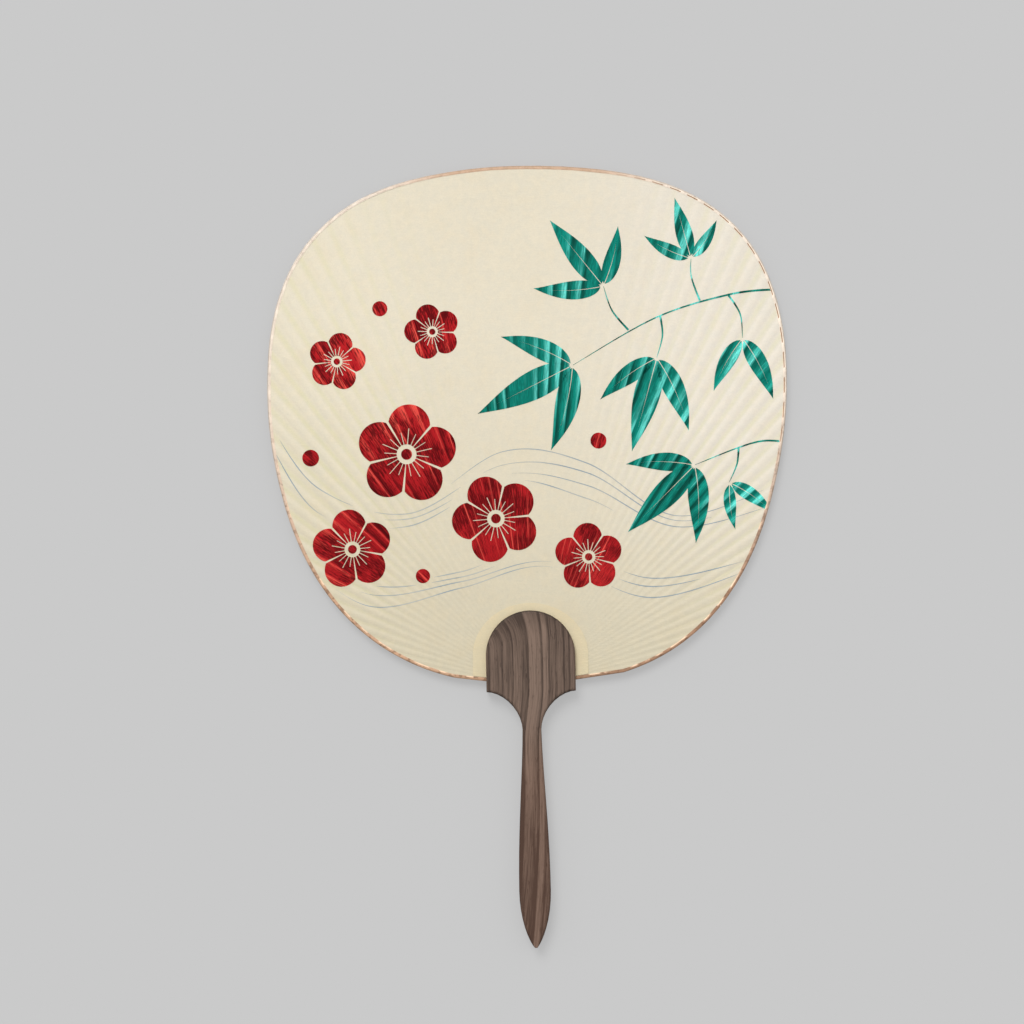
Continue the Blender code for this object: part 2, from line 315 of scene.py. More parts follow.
def crest_half(radius):
    """Half the width of the flat crest that a rib gives the paper."""
    along = (radius - RIB_ROOT_RADIUS) / (RIB_TAPER_REACH - RIB_ROOT_RADIUS)
    return (RIB_ROOT_WIDTH + (RIB_WIDTH - RIB_ROOT_WIDTH) * along) / 2 + PASTE_GAP


def drape_lines():
    """Lines along each rib: (rib's angle, side, share of the drape, gap to the next rib)."""
    angles = rib_angles()
    edges = np.concatenate(([-2 * FOOT_ANGLE - angles[0]], angles, [2 * FOOT_ANGLE - angles[-1]]))
    lines = [(-FOOT_ANGLE, 0, 0, 0)]
    for index, angle in enumerate(angles):
        before = angle - edges[index]
        after = edges[index + 2] - angle
        lines += [(angle, -1, share, before) for share in DRAPE_SHARES[::-1]]
        lines.append((angle, 0, 0, 0))
        lines += [(angle, 1, share, after) for share in DRAPE_SHARES]
        lines.append((angle + after / 2, 0, 0, 0))
    return np.array(lines).T


def leaf_grid(row_count):
    """Points of the sheet as two arrays, x and y, with a row for each line and its radii."""
    angle, side, share, gap = (values[:, None] for values in drape_lines())
    row = np.linspace(0, 1, row_count)[None, :]
    radius = RIB_ROOT_RADIUS + (leaf_reach(angle) - RIB_ROOT_RADIUS) * row
    crest = crest_half(radius)
    run = np.clip(DRAPE_REACH * (radius * gap / 2 - crest), 0, DRAPE_WIDTH)
    turned = angle + np.arctan2(side * (crest + run * share), radius)
    turned = np.clip(turned, -FOOT_ANGLE, FOOT_ANGLE)
    radius = RIB_ROOT_RADIUS + (leaf_reach(turned) - RIB_ROOT_RADIUS) * row
    return radius * np.sin(turned), radius * np.cos(turned)


def keep_on_leaf(x, y, inset):
    """A point drawn back so that it stays a little inside the leaf's edge."""
    angle = math.atan2(x, y)
    radius = min(math.hypot(x, y), float(leaf_reach(angle)) - inset)
    return radius * math.sin(angle), radius * math.cos(angle)


# The drape, as geometry nodes

DRAPE_SIZES = {
    "Rib count": RIB_COUNT,
    "Rib spread": RIB_SPREAD,
    "Rib crowding": RIB_CROWDING,
    "Side spacing": SIDE_SPACING,
    "Root radius": RIB_ROOT_RADIUS,
    "Root width": RIB_ROOT_WIDTH,
    "Rib width": RIB_WIDTH,
    "Taper reach": RIB_TAPER_REACH,
    "Paste gap": PASTE_GAP,
    "Crest height": CREST_HEIGHT,
    "Valley height": VALLEY_HEIGHT,
    "Drape width": DRAPE_WIDTH,
    "Drape reach": DRAPE_REACH,
    "Leaf middle": LEAF_MIDDLE,
    "Cockle": COCKLE_HEIGHT,
    "Crimp": 0.0,
    "Seed": SHEET_SEED,
}


def nearest_rib(nodes, size, x, y):
    """The nearest rib's number, the way to it across the ribs, and the ribs' pitch there."""
    radius = ((x ** 2) + (y ** 2)) ** 0.5
    angle = nodes.maths("ARCTAN2", x, y)
    spread, crowding, side = size["Rib spread"], size["Rib crowding"], size["Side spacing"]
    place = angle / spread
    for _ in range(3):
        reached = spread * (place * (1 - side) + side * place ** 3) + crowding * (1 - place ** 2)
        slope = spread * ((1 - side) + 3 * side * place ** 2) - 2 * crowding * place
        place = place - (reached - angle) / slope
    count = (place + 1) / 2 * (size["Rib count"] - 1)
    nearest = nodes.limit(nodes.maths("ROUND", count), 0, size["Rib count"] - 1)
    pitch = slope * 2 / (size["Rib count"] - 1) * radius
    return nearest, (count - nearest) * pitch, pitch, radius


def drape_height(nodes, size, x, y):
    """Height of the paper's inner face above the leaf's middle, at a place on the leaf."""
    nearest, way, pitch, radius = nearest_rib(nodes, size, x, y)
    along = (radius - size["Root radius"]) / (size["Taper reach"] - size["Root radius"])
    crest = (size["Root width"] + (size["Rib width"] - size["Root width"]) * along) / 2
    free = size["Drape reach"] * (pitch / 2 - crest)
    run = nodes.limit(free, size["Paste gap"] / 10, size["Drape width"])
    chance = nodes.chance(nearest + size["Seed"])
    fall = nodes.smooth_step(abs(way), crest * 0.4, crest + run * (0.8 + 0.2 * chance))
    slack = nodes.noise(nodes.join(x, y, size["Seed"]), 38, 1)
    aside = 0.25 + 0.95 * nodes.smooth_step(abs(x) / radius, 0.08, 0.6)
    depth = (size["Crest height"] - size["Valley height"]) * (0.4 + 0.62 * slack + 0.2 * chance)
    depth = nodes.maths("MINIMUM", depth * aside, size["Crest height"])
    return size["Crest height"] - depth * (run / size["Drape width"]) ** 1.6 * fall


def make_drape_tree():
    """Bends flat pieces over the ribs.

    Point attributes say how: level is 1 on the front and -1 on the back, lift is the height
    above the paper's inner face, and stiff is how far the piece bridges the valleys.
    """
    tree = bpy.data.node_groups.new("drape_over_ribs", "GeometryNodeTree")
    tree.interface.new_socket("Geometry", in_out="INPUT", socket_type="NodeSocketGeometry")
    for name, value in DRAPE_SIZES.items():
        socket = tree.interface.new_socket(name, in_out="INPUT", socket_type="NodeSocketFloat")
        socket.default_value = value
    tree.interface.new_socket("Finish", in_out="INPUT", socket_type="NodeSocketMaterial")
    tree.interface.new_socket("Geometry", in_out="OUTPUT", socket_type="NodeSocketGeometry")
    nodes = Nodes(tree)
    inputs = nodes.add("NodeGroupInput")
    size = {name: Wire(nodes, inputs.socket.node.outputs[name]) for name in DRAPE_SIZES}
    x, y, _ = nodes.split(nodes.add("GeometryNodeInputPosition"))
    level, lift, stiff = (
        nodes.add("GeometryNodeInputNamedAttribute", {"data_type": "FLOAT"}, {"Name": name})
        for name in ("level", "lift", "stiff")
    )
    height = drape_height(nodes, size, x, y)
    height = height + (size["Crest height"] - height) * stiff
    spot = nodes.join(x, y, size["Seed"] + level * 0.2)
    height = height + size["Cockle"] * nodes.smooth_step(nodes.noise(spot, 26, 1), 0.3, 0.75)
    crinkle = nodes.noise(spot, 520, 2) - 0.5
    patch = nodes.smooth_step(nodes.noise(spot, 55, 1), 0.42, 0.62)
    height = height + size["Crimp"] * crinkle * (0.35 + patch) * (0.2 + 1.1 * stiff)
    wander = size["Crimp"] * (nodes.noise(spot, 170, 1) - 0.5)
    radius = ((x ** 2) + (y ** 2)) ** 0.5
    drawn = 1 + wander * 1.4 / radius
    place = nodes.join(x * drawn, y * drawn, size["Leaf middle"] + level * (height + lift))
    moved = nodes.add("GeometryNodeSetPosition", None, {"Geometry": inputs, "Position": place})
    real = nodes.add("GeometryNodeRealizeInstances", None, {"Geometry": moved})
    finish = Wire(nodes, inputs.socket.node.outputs["Finish"])
    finished = nodes.add("GeometryNodeSetMaterial", None, {"Geometry": real, "Material": finish})
    nodes.add("NodeGroupOutput", None, {"Geometry": finished})
    return tree


DRAPE_TREE = make_drape_tree()


def drape(item, finish, thickness=0.0, **changes):
    """Bends a piece over the ribs, gives it its thickness and leaves a plain mesh."""
    modifier = item.modifiers.new("drape", "NODES")
    modifier.node_group = DRAPE_TREE
    settings = {**DRAPE_SIZES, **changes, "Finish": finish}
    for socket in DRAPE_TREE.interface.items_tree:
        if socket.in_out == "INPUT" and socket.name in settings:
            modifier[socket.identifier] = settings[socket.name]
    if thickness:
        wall = item.modifiers.new("wall", "SOLIDIFY")
        wall.thickness = thickness
        wall.offset = 1
    graph = bpy.context.evaluated_depsgraph_get()
    mesh = bpy.data.meshes.new_from_object(item.evaluated_get(graph), depsgraph=graph)
    item.modifiers.clear()
    old = item.data
    item.data = mesh
    bpy.data.meshes.remove(old)
    mesh.name = item.name
    for name in ("level", "lift", "stiff"):
        mesh.attributes.remove(mesh.attributes[name])
    mesh.shade_smooth()
    mesh.set_sharp_from_angle(angle=SHEET_SHARP_ANGLE)


def add_object(name, data):
    item = bpy.data.objects.new(name, data)
    bpy.context.collection.objects.link(item)
    return item


def add_layer(mesh, name, values, domain="POINT"):
    """Gives a mesh a number for each of its points or faces."""
    layer = mesh.attributes.new(name, "FLOAT", domain)
    layer.data.foreach_set("value", np.array(values, dtype=np.float32))


def make_piece(name, vertices, faces, levels, lifts, stiffs=0.0):
    """A flat piece with what the drape needs to know about each of its points."""
    mesh = bpy.data.meshes.new(name)
    mesh.from_pydata(vertices, [], faces)
    for label, values in (("level", levels), ("lift", lifts), ("stiff", stiffs)):
        add_layer(mesh, label, np.broadcast_to(values, len(vertices)))
    return add_object(name, mesh)


def grid_faces(lines, rows, flip):
    """Faces of a sheet whose points run row by row along each line."""
    faces = []
    for line in range(lines - 1):
        for row in range(rows - 1):
            a = line * rows + row
            face = (a, a + rows, a + rows + 1, a + 1)
            faces.append(face[::-1] if flip else face)
    return faces


def settle(item, slot, *nodes):
    """Hangs a finished piece on the root body and hides the imported parts it stands for."""
    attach(item, "root")
    if nodes:
        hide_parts(*nodes)


# Leaf


def build_sheet(name, side, row_count, node, finish):
    """One sheet of paper, from its foot in the handle's cut to the leaf's edge."""
    x, y = leaf_grid(row_count)
    angle = np.arctan2(x[:, :1], y[:, :1])
    inner = np.linspace(FOOT_RADIUS, RIB_ROOT_RADIUS, FOOT_ROWS, endpoint=False)[None, :]
    x = np.hstack((inner * np.sin(angle), x))
    y = np.hstack((inner * np.cos(angle), y))
    vertices = [(a, b, 0) for a, b in zip(x.ravel(), y.ravel())]
    faces = grid_faces(*x.shape, flip=side < 0)
    item = make_piece(name, vertices, faces, side, 0.0)
    drape(item, finish, PAPER_THICKNESS, Seed=SHEET_SEED + side)
    settle(item, "leaf_paper", node)


def rim_path():
    """Middle line of the binding: up one side of the foot, round the leaf and back."""
    tucked = (HEAD_WIDTH / 2 - COLLAR_TUCK) / math.sin(FOOT_ANGLE)
    angles = np.linspace(-FOOT_ANGLE, FOOT_ANGLE, RIM_STEPS)
    radii = leaf_reach(angles)
    x = np.concatenate(([tucked * math.sin(-FOOT_ANGLE)], radii * np.sin(angles)))
    y = np.concatenate(([tucked * math.cos(FOOT_ANGLE)], radii * np.cos(angles)))
    x = np.append(x, tucked * math.sin(FOOT_ANGLE))
    y = np.append(y, tucked * math.cos(FOOT_ANGLE))
    length = np.concatenate(([0], np.cumsum(np.hypot(np.diff(x), np.diff(y)))))
    steps = np.linspace(0, length[-1], int(length[-1] / STRIP_STEP))
    return np.interp(steps, length, x), np.interp(steps, length, y)


def strip_section():
    """The folded strip as (outward, level, lift, stiff), round its outside and back inside."""
    section = []
    rest = PAPER_THICKNESS + PASTE_GAP / 4
    for thickness, order in ((STRIP_THICKNESS, 1), (0, -1)):
        front = []
        for share in STRIP_SHARES:
            lift = rest + thickness + STRIP_DOME * (1 - (2 * share - 1) ** 2)
            front.append((-STRIP_LAP * share, 1, lift, STRIP_STIFFNESS * (1 - share)))
        fold = []
        for degrees in FOLD_ANGLES:
            angle = math.radians(degrees)
            outward = (PASTE_GAP + thickness) * math.cos(angle)
            fold.append((outward, math.sin(angle), rest + thickness, FOLD_STIFFNESS))
        back = [(outward, -level, lift, stiff) for outward, level, lift, stiff in front[::-1]]
        section += (front + fold + back)[::order]
    return section


def build_strip(finish):
    """The foil strip folded round the edge, with its own attribute for the way in from there."""
    x, y = rim_path()
    tangent = np.hypot(np.gradient(x), np.gradient(y))
    normal_x, normal_y = -np.gradient(y) / tangent, np.gradient(x) / tangent
    section = strip_section()
    vertices = []
    for px, py, nx, ny in zip(x, y, normal_x, normal_y):
        vertices += [(px + out * nx, py + out * ny, 0) for out, _, _, _ in section]
    size = len(section)
    faces = [tuple(range(size)), tuple(range(len(vertices) - size, len(vertices)))[::-1]]
    for ring in range(len(x) - 1):
        for index in range(size):
            after = (index + 1) % size
            near, far = ring * size, (ring + 1) * size
            faces.append((near + index, far + index, far + after, near + after))
    _, levels, lifts, stiffs = (np.tile(values, len(x)) for values in zip(*section))
    item = make_piece("edge_binding", vertices, faces, levels, lifts, stiffs)
    inward = [max(-out / STRIP_LAP, 0) for out, _, _, _ in section]
    add_layer(item.data, "inward", np.tile(inward, len(x)))
    drape(item, finish, Crimp=STRIP_CRIMP)
    settle(item, "edge_foil", "rim_strip")


def collar_line(outward):
    """One arch of the collar, from its left foot over the head to its right foot."""
    side = HEAD_WIDTH / 2 - COLLAR_TUCK + (COLLAR_SIDE_BAND + COLLAR_TUCK) * outward
    rise = HEAD_WIDTH / 2 - COLLAR_TUCK + (COLLAR_TOP_BAND + COLLAR_TUCK) * outward
    foot = side / math.tan(FOOT_ANGLE) + (STRIP_LAP + SEAT_GAP) / math.sin(FOOT_ANGLE)
    turn = np.linspace(-math.pi / 2, math.pi / 2, COLLAR_TURN_STEPS)
    leg = np.linspace(foot, HEAD_CENTRE_RISE, COLLAR_LEG_STEPS, endpoint=False)
    straight = np.full(COLLAR_LEG_STEPS, side)
    x = np.concatenate((-straight, side * np.sin(turn), straight))
    y = np.concatenate((leg, HEAD_CENTRE_RISE + rise * np.cos(turn), leg[::-1]))
    return x, y


def build_collar(name, side, node, finish):
    """The arch of paper round the head, with its inner edge tucked into the cut."""
    lines = [collar_line(outward) for outward in np.linspace(0, 1, COLLAR_ROWS)]
    x, y = (np.array(values).T for values in zip(*lines))
    vertices = [(a, b, 0) for a, b in zip(x.ravel(), y.ravel())]
    faces = grid_faces(*x.shape, flip=side < 0)
    lift = PAPER_THICKNESS + PASTE_GAP
    item = make_piece(name, vertices, faces, side, lift, COLLAR_STIFFNESS)
    drape(item, finish, COLLAR_THICKNESS, Seed=SHEET_SEED + side)
    settle(item, "collar_paper", node)


# Stamped figures: bamboo grass, plum blossoms and flowing water

FIGURE_INSET = 0.0006
INK_LIFT = 0.00024
INK_THICKNESS = 0.000015
FOIL_LIFT = 0.00027
FOIL_THICKNESS = 0.00002
VEIN_GAP = 0.0004
VEIN_SHARE = 0.8
BLADE_STEP = 0.0012
FEWEST_BLADE_STEPS = 8
BLADE_RISE = 0.62
BLADE_FALL = 1.15
BEND_START_SHARE = 0.3
RIBBON_TIP_SHARE = 0.16
RIBBON_TIP_POWER = 0.6
# A petal, as shares of the blossom's radius and of the petal's own half angle
PETAL_HALF_ANGLE = math.radians(34)
PETAL_STEPS = 24
PETAL_MIDDLE_SHARE = 0.58
PETAL_BULGE_SHARE = 0.42
PETAL_FOOT_SHARE = 0.2
SLIT_END_SHARE = 0.52
SLIT_TURN_SHARES = (0.58, 0, -0.58)
SLIT_LOSS_SHARE = 0.25
DISC_SIDES = 24


def blade(base, heading, length, width, bend):
    """A long leaf whose middle vein stays bare almost to its tip."""
    steps = max(int(length / BLADE_STEP), FEWEST_BLADE_STEPS)
    peak = BLADE_RISE / (BLADE_RISE + BLADE_FALL)
    fullest = peak ** BLADE_RISE * (1 - peak) ** BLADE_FALL
    x, y = base
    left, right, vein_left, vein_right = [], [], [], []
    for step in range(steps + 1):
        share = step / steps
        turn = heading + bend * (share - BEND_START_SHARE)
        across = (-math.sin(turn), math.cos(turn))
        half = width / 2 * share ** BLADE_RISE * (1 - share) ** BLADE_FALL / fullest
        if share < VEIN_SHARE:
            half = max(half, VEIN_GAP)
            gap = VEIN_GAP / 2 * (1 - share / VEIN_SHARE)
            vein_left.append((x + across[0] * gap, y + across[1] * gap))
            vein_right.append((x - across[0] * gap, y - across[1] * gap))
        left.append((x + across[0] * half, y + across[1] * half))
        right.append((x - across[0] * half, y - across[1] * half))
        x += length / steps * math.cos(turn)
        y += length / steps * math.sin(turn)
    return left + right[-2::-1] + vein_right + vein_left[::-1]


def ribbon(route, width, end_share):
    """A narrow band along a route, drawn to a point at both ends or at its far end only."""
    outline = []
    for side in (-1, 1):
        edge = []
        for index, (x, y) in enumerate(route):
            ahead = route[min(index + 1, len(route) - 1)]
            behind = route[max(index - 1, 0)]
            length = math.hypot(ahead[0] - behind[0], ahead[1] - behind[1])
            share = index / (len(route) - 1)
            near_end = min(share, 1 - share) if end_share else 1 - share
            taper = min(1, near_end / (end_share or 1)) ** RIBBON_TIP_POWER
            half = width / 2 * max(taper, RIBBON_TIP_SHARE)
            normal = (-(ahead[1] - behind[1]) / length, (ahead[0] - behind[0]) / length)
            edge.append((x + side * half * normal[0], y + side * half * normal[1]))
        outline += edge if side < 0 else edge[::-1]
    return outline


def smooth_route(points, step=OUTLINE_STEP):
    """Points on a smooth curve that passes through a few given ones."""
    knots = [points[0], *points, points[-1]]
    route = []
    for before, start, end, after in zip(knots, knots[1:], knots[2:], knots[3:]):
        count = max(int(math.dist(start, end) / step), 2)
        for index in range(count):
            t = index / count
            route.append(tuple(
                0.5 * (2 * b + (c - a) * t + (2 * a - 5 * b + 4 * c - d) * t ** 2
                       + (3 * b - a - 3 * c + d) * t ** 3)
                for a, b, c, d in zip(before, start, end, after)
            ))
    return [*route, tuple(points[-1])]


def petal(centre, radius, turn):
    """One round petal with three slits for its stamens."""
    middle, bulge = PETAL_MIDDLE_SHARE * radius, PETAL_BULGE_SHARE * radius
    foot, slit_end = PETAL_FOOT_SHARE * radius, SLIT_END_SHARE * radius
    outline = []
    for step in range(PETAL_STEPS + 1):
        angle = PETAL_HALF_ANGLE * (2 * step / PETAL_STEPS - 1)
        outer = middle * math.cos(angle) + math.sqrt(bulge ** 2 - (middle * math.sin(angle)) ** 2)
        outline.append((outer, angle))
    outline.append((foot, PETAL_HALF_ANGLE))
    half = VEIN_GAP / 2
    for turn_share in SLIT_TURN_SHARES:
        angle = PETAL_HALF_ANGLE * turn_share
        end = slit_end * (1 - SLIT_LOSS_SHARE * abs(turn_share))
        outline += [
            (foot, angle + half / foot),
            (end, angle + half / slit_end),
            (end, angle - half / slit_end),
            (foot, angle - half / foot),
        ]
    outline.append((foot, -PETAL_HALF_ANGLE))
    x, y = centre
    return [(x + r * math.cos(a + turn), y + r * math.sin(a + turn)) for r, a in outline]


def disc(centre, radius):
    """A round bud, or the middle of a blossom."""
    x, y = centre
    turns = [math.tau * step / DISC_SIDES for step in range(DISC_SIDES)]
    return [(x + radius * math.cos(turn), y + radius * math.sin(turn)) for turn in turns]


def split_edges(outline):
    """The outline with long edges divided, and no point past the leaf's edge."""
    points = []
    for start, end in zip(outline, outline[1:] + outline[:1]):
        count = max(int(math.dist(start, end) / OUTLINE_STEP), 1)
        for index in range(count):
            share = index / count
            x, y = (a + (b - a) * share for a, b in zip(start, end))
            points.append(keep_on_leaf(x, y, FIGURE_INSET))
    return points


DRAPE_POINTS = np.column_stack([values.ravel() for values in leaf_grid(FIGURE_ROWS)])


def fill(outline):
    """Triangles inside an outline, with points on the leaf's drape lines among them."""
    edge = split_edges(outline)
    low, high = np.min(edge, axis=0), np.max(edge, axis=0)
    near = DRAPE_POINTS[np.all((DRAPE_POINTS > low) & (DRAPE_POINTS < high), axis=1)]
    points = [Vector(point) for point in edge] + [Vector(point) for point in near]
    border = [(index, (index + 1) % len(edge)) for index in range(len(edge))]
    found = delaunay_2d_cdt(points, border, [], 1, CUT_ACCURACY)
    return found[0], found[2]


def build_figure(name, outlines, lift, thickness, finish):
    """Figures of one finish, as one thin piece on the front paper."""
    vertices, faces = [], []
    for outline in outlines:
        points, triangles = fill(outline)
        used = sorted({index for triangle in triangles for index in triangle})
        place = {index: len(vertices) + count for count, index in enumerate(used)}
        vertices += [(*points[index], 0) for index in used]
        for a, b, c in triangles:
            upward = (points[b] - points[a]).cross(points[c] - points[a]) > 0
            corners = (a, b, c) if upward else (a, c, b)
            faces.append(tuple(place[index] for index in corners))
    item = make_piece(name, vertices, faces, 1.0, lift)
    drape(item, finish, thickness, Seed=SHEET_SEED + 1)
    settle(item, "leaf_paper")


# Stems of the bamboo grass, from the leaf's edge inwards
GRASS_STEMS = (
    ((0.130, 0.196), (0.104, 0.194), (0.066, 0.183), (0.024, 0.160)),
    ((0.052, 0.177), (0.044, 0.187), (0.040, 0.199)),
    ((0.088, 0.191), (0.084, 0.203), (0.084, 0.212)),
    ((0.068, 0.184), (0.069, 0.174), (0.066, 0.163)),
    ((0.102, 0.194), (0.108, 0.184), (0.109, 0.172)),
    ((0.136, 0.118), (0.116, 0.120), (0.084, 0.109)),
    ((0.106, 0.1175), (0.105, 0.109), (0.101, 0.100)),
)
# Fans of blades: where they meet, middle heading, spread, count, longest blade
GRASS_FANS = (
    ((0.024, 0.160), 206, 104, 3, 0.052),
    ((0.040, 0.199), 128, 112, 3, 0.041),
    ((0.084, 0.212), 104, 104, 3, 0.030),
    ((0.066, 0.163), 254, 84, 3, 0.047),
    ((0.109, 0.172), 268, 62, 2, 0.040),
    ((0.084, 0.109), 224, 98, 3, 0.046),
    ((0.101, 0.100), 300, 54, 2, 0.031),
)
BLADE_SLIMNESS = 3.6
BLADE_STALK = 0.0016
BLADE_BEND = -0.7
SIDE_BLADE_LOSS = 0.36
FIRST_BLADE_LOSS = 0.1
STEM_WIDTH = 0.0011

PETAL_COUNT = 5
HEART_SHARE = 0.11
# Blossoms: centre, radius, turn
BLOSSOMS = (
    ((-0.060, 0.117), 0.0250, 12),
    ((-0.016, 0.084), 0.0220, 40),
    ((-0.088, 0.070), 0.0200, 25),
    ((-0.094, 0.164), 0.0145, 5),
    ((-0.046, 0.178), 0.0140, 33),
    ((0.030, 0.064), 0.0170, 20),
)
BUDS = (
    ((-0.108, 0.116), 0.0042),
    ((-0.072, 0.190), 0.0038),
    ((0.036, 0.122), 0.0040),
    ((-0.053, 0.056), 0.0036),
)

# Water: a bundle's route and how far apart its lines are
WATER_BUNDLES = (
    (((-0.128, 0.130), (-0.104, 0.098), (-0.060, 0.086), (-0.012, 0.108), (0.030, 0.103),
      (0.074, 0.080), (0.124, 0.090)), 0.0046),
    (((-0.118, 0.074), (-0.080, 0.050), (-0.034, 0.054), (0.010, 0.064), (0.060, 0.046),
      (0.112, 0.058)), 0.0040),
)
# Where each line of a bundle starts and ends, as shares of its route
WATER_SHARES = ((0.0, 0.70), (0.16, 1.0), (0.04, 0.88), (0.30, 0.97))
# A bundle widens and narrows by this share, in a wave that turns by so much per knot and line
WATER_SWAY = 0.45
KNOT_TURN = 1.9
LINE_TURN = 0.5
LINE_WIDTH = 0.0005
LINE_TAPER_SHARE = 0.3
LINE_CLEARANCE = 0.0016
SHORTEST_LINE = 0.014


def grass_outlines():
    """Stems, and fans of blades of which the middle one is the longest."""
    outlines = [ribbon(smooth_route(stem), STEM_WIDTH, 0) for stem in GRASS_STEMS]
    for (x, y), heading, spread, count, length in GRASS_FANS:
        for index in range(count):
            share = index / (count - 1) - 0.5
            reach = length * (1 - SIDE_BLADE_LOSS * abs(share) - FIRST_BLADE_LOSS * (index == 0))
            turn = math.radians(heading + spread * share)
            start = (x + BLADE_STALK * math.cos(turn), y + BLADE_STALK * math.sin(turn))
            outlines.append(blade(start, turn, reach, reach / BLADE_SLIMNESS, BLADE_BEND * share))
    return outlines


def blossom_outlines():
    """Blossoms of five petals round a small disc, and round buds."""
    outlines = []
    for centre, radius, turn in BLOSSOMS:
        turns = [math.radians(turn + 360 / PETAL_COUNT * step) for step in range(PETAL_COUNT)]
        outlines += [petal(centre, radius, angle) for angle in turns]
        outlines.append(disc(centre, HEART_SHARE * radius))
    return outlines + [disc(centre, radius) for centre, radius in BUDS]


def clear_stretches(route):
    """The parts of a route that pass no blossom or bud and stay inside the binding."""
    rounds = [(centre, radius) for centre, radius, _ in BLOSSOMS] + list(BUDS)
    stretches = [[]]
    for point in route:
        inside = float(leaf_reach(math.atan2(*point))) - math.hypot(*point) > STRIP_LAP
        if inside and all(math.dist(point, c) > r + LINE_CLEARANCE for c, r in rounds):
            stretches[-1].append(point)
        elif stretches[-1]:
            stretches.append([])
    return [part for part in stretches if len(part) * OUTLINE_STEP > SHORTEST_LINE]


def water_outlines():
    """Bundles of fine lines that draw together and apart."""
    outlines = []
    for route, spacing in WATER_BUNDLES:
        for index, (start, end) in enumerate(WATER_SHARES):
            offset = index - (len(WATER_SHARES) - 1) / 2
            points = []
            for knot, (x, y) in enumerate(route):
                sway = math.sin(KNOT_TURN * knot + LINE_TURN * index)
                spread = spacing * (1 + WATER_SWAY * sway)
                points.append((x, y + offset * spread))
            line = smooth_route(points)
            line = line[int(start * len(line)):int(end * len(line))]
            stretches = clear_stretches(line)
            outlines += [ribbon(part, LINE_WIDTH, LINE_TAPER_SHARE) for part in stretches]
    return outlines


# Finishes


def make_material(name):
    """A new material, its nodes, its shader's sockets and the place on the piece."""
    material = bpy.data.materials.new(name)
    material.use_nodes = True
    nodes = Nodes(material.node_tree)
    shader = material.node_tree.nodes["Principled BSDF"]
    place = nodes.add("ShaderNodeTexCoord", output="Object")
    return material, nodes, shader, place


def plug(nodes, shader, **sockets):
    """Sets or links the shader's sockets, named with _ for a space."""
    for name, value in sockets.items():
        socket = shader.inputs[name.replace("_", " ")]
        if isinstance(value, Wire):
            nodes.tree.links.new(value.socket, socket)
        else:
            socket.default_value = value


def bump(nodes, height, distance, strength=1.0):
    sockets = {"Strength": strength, "Distance": distance, "Height": height}
    return nodes.add("ShaderNodeBump", None, sockets)


def polar_place(nodes, place, across, along):
    """The place as (angle round the ribs' meeting point, distance from it), stretched."""
    x, y, z = nodes.split(place)
    angle = nodes.maths("ARCTAN2", x, y)
    radius = ((x ** 2) + (y ** 2)) ** 0.5
    return nodes.join(angle * across, radius * along, z)


def fibres(nodes, place, turn, length_scale, width_scale):
    """Fine threads in one direction: 1 on a thread and 0 between them."""
    turned = nodes.add("ShaderNodeMapping", None, {
        "Vector": place,
        "Rotation": (0, 0, turn),
        "Scale": (length_scale, width_scale, width_scale),
    })
    return 1 - nodes.smooth_step(abs(nodes.noise(turned, 1, 2) - 0.5), 0.0, 0.035)


def valley_shade_share(nodes, x, way, pitch, radius):
    """Where painted shade falls in the paper's valleys: 1 halfway between two ribs, 0 on each, and
    0 where ribs lie close or run up the middle.
    """
    between = nodes.smooth_step(abs(way) / pitch, 0.22, 0.5)
    aside = nodes.smooth_step(abs(x) / radius, 0.12, 0.6)
    return between * aside * nodes.smooth_step(pitch, 0.0025, 0.0062)


def paper_finish(name, low_colour, high_colour, ridged=1.0):
    material, nodes, shader, place = make_material(name)
    x, y, _ = nodes.split(place)
    # Darker and yellower towards the handle: partly the paper's tone, partly painted falloff of
    # the light from the crown
    colour = nodes.blend(nodes.smooth_step(y + 0.12 * x, -0.06, 0.19), low_colour, high_colour)
    white = nodes.smooth_step(x, 0.0, 0.1) * nodes.smooth_step(y, 0.02, 0.14) * 0.5
    colour = nodes.blend(white, colour, srgb(240, 232, 222))
    _, way, pitch, radius = nearest_rib(nodes, DRAPE_SIZES, x, y)
    patch = nodes.noise(place, 60, 2)
    # Painted shade in the valleys between the side ribs, a yellowish darkening
    valley_shade = valley_shade_share(nodes, x, way, pitch, radius) * (0.1 + 1.3 * patch) * ridged
    colour = nodes.blend(valley_shade, colour, srgb(250, 252, 238), "MULTIPLY")
    blotch = nodes.smooth_step(nodes.noise(place, 85, 2), 0.45, 0.75)
    colour = nodes.blend(blotch * 0.5, colour, srgb(255, 252, 247), "MULTIPLY")
    tone = nodes.smooth_step(nodes.noise(place, 260, 2), 0.36, 0.64)
    colour = nodes.blend(tone * 0.6, colour, srgb(250, 252, 255), "MULTIPLY")
    cloud = nodes.noise(place, 34, 3)
    grain = nodes.noise(place, 1500, 2)
    threads = fibres(nodes, place, 0.5, 90, 900) + fibres(nodes, place, 2.1, 80, 800)
    mottle = nodes.noise(place, 430, 3, 0.6)
    level = 0.89 + 0.04 * cloud + 0.085 * mottle + 0.11 * grain + 0.016 * threads
    level = level + 0.014 * nodes.smooth_step(abs(x), 0.03, 0.1)
    level = level + 0.016 * nodes.smooth_step(-1 * x, 0.03, 0.1)
    relief = grain * 0.6 + threads * 0.5
    plug(
        nodes, shader,
        Base_Color=nodes.tint(colour, level),
        Roughness=0.82 + 0.1 * grain,
        Normal=bump(nodes, relief, 0.00003),
        Specular_IOR_Level=0.25,
    )
    return material


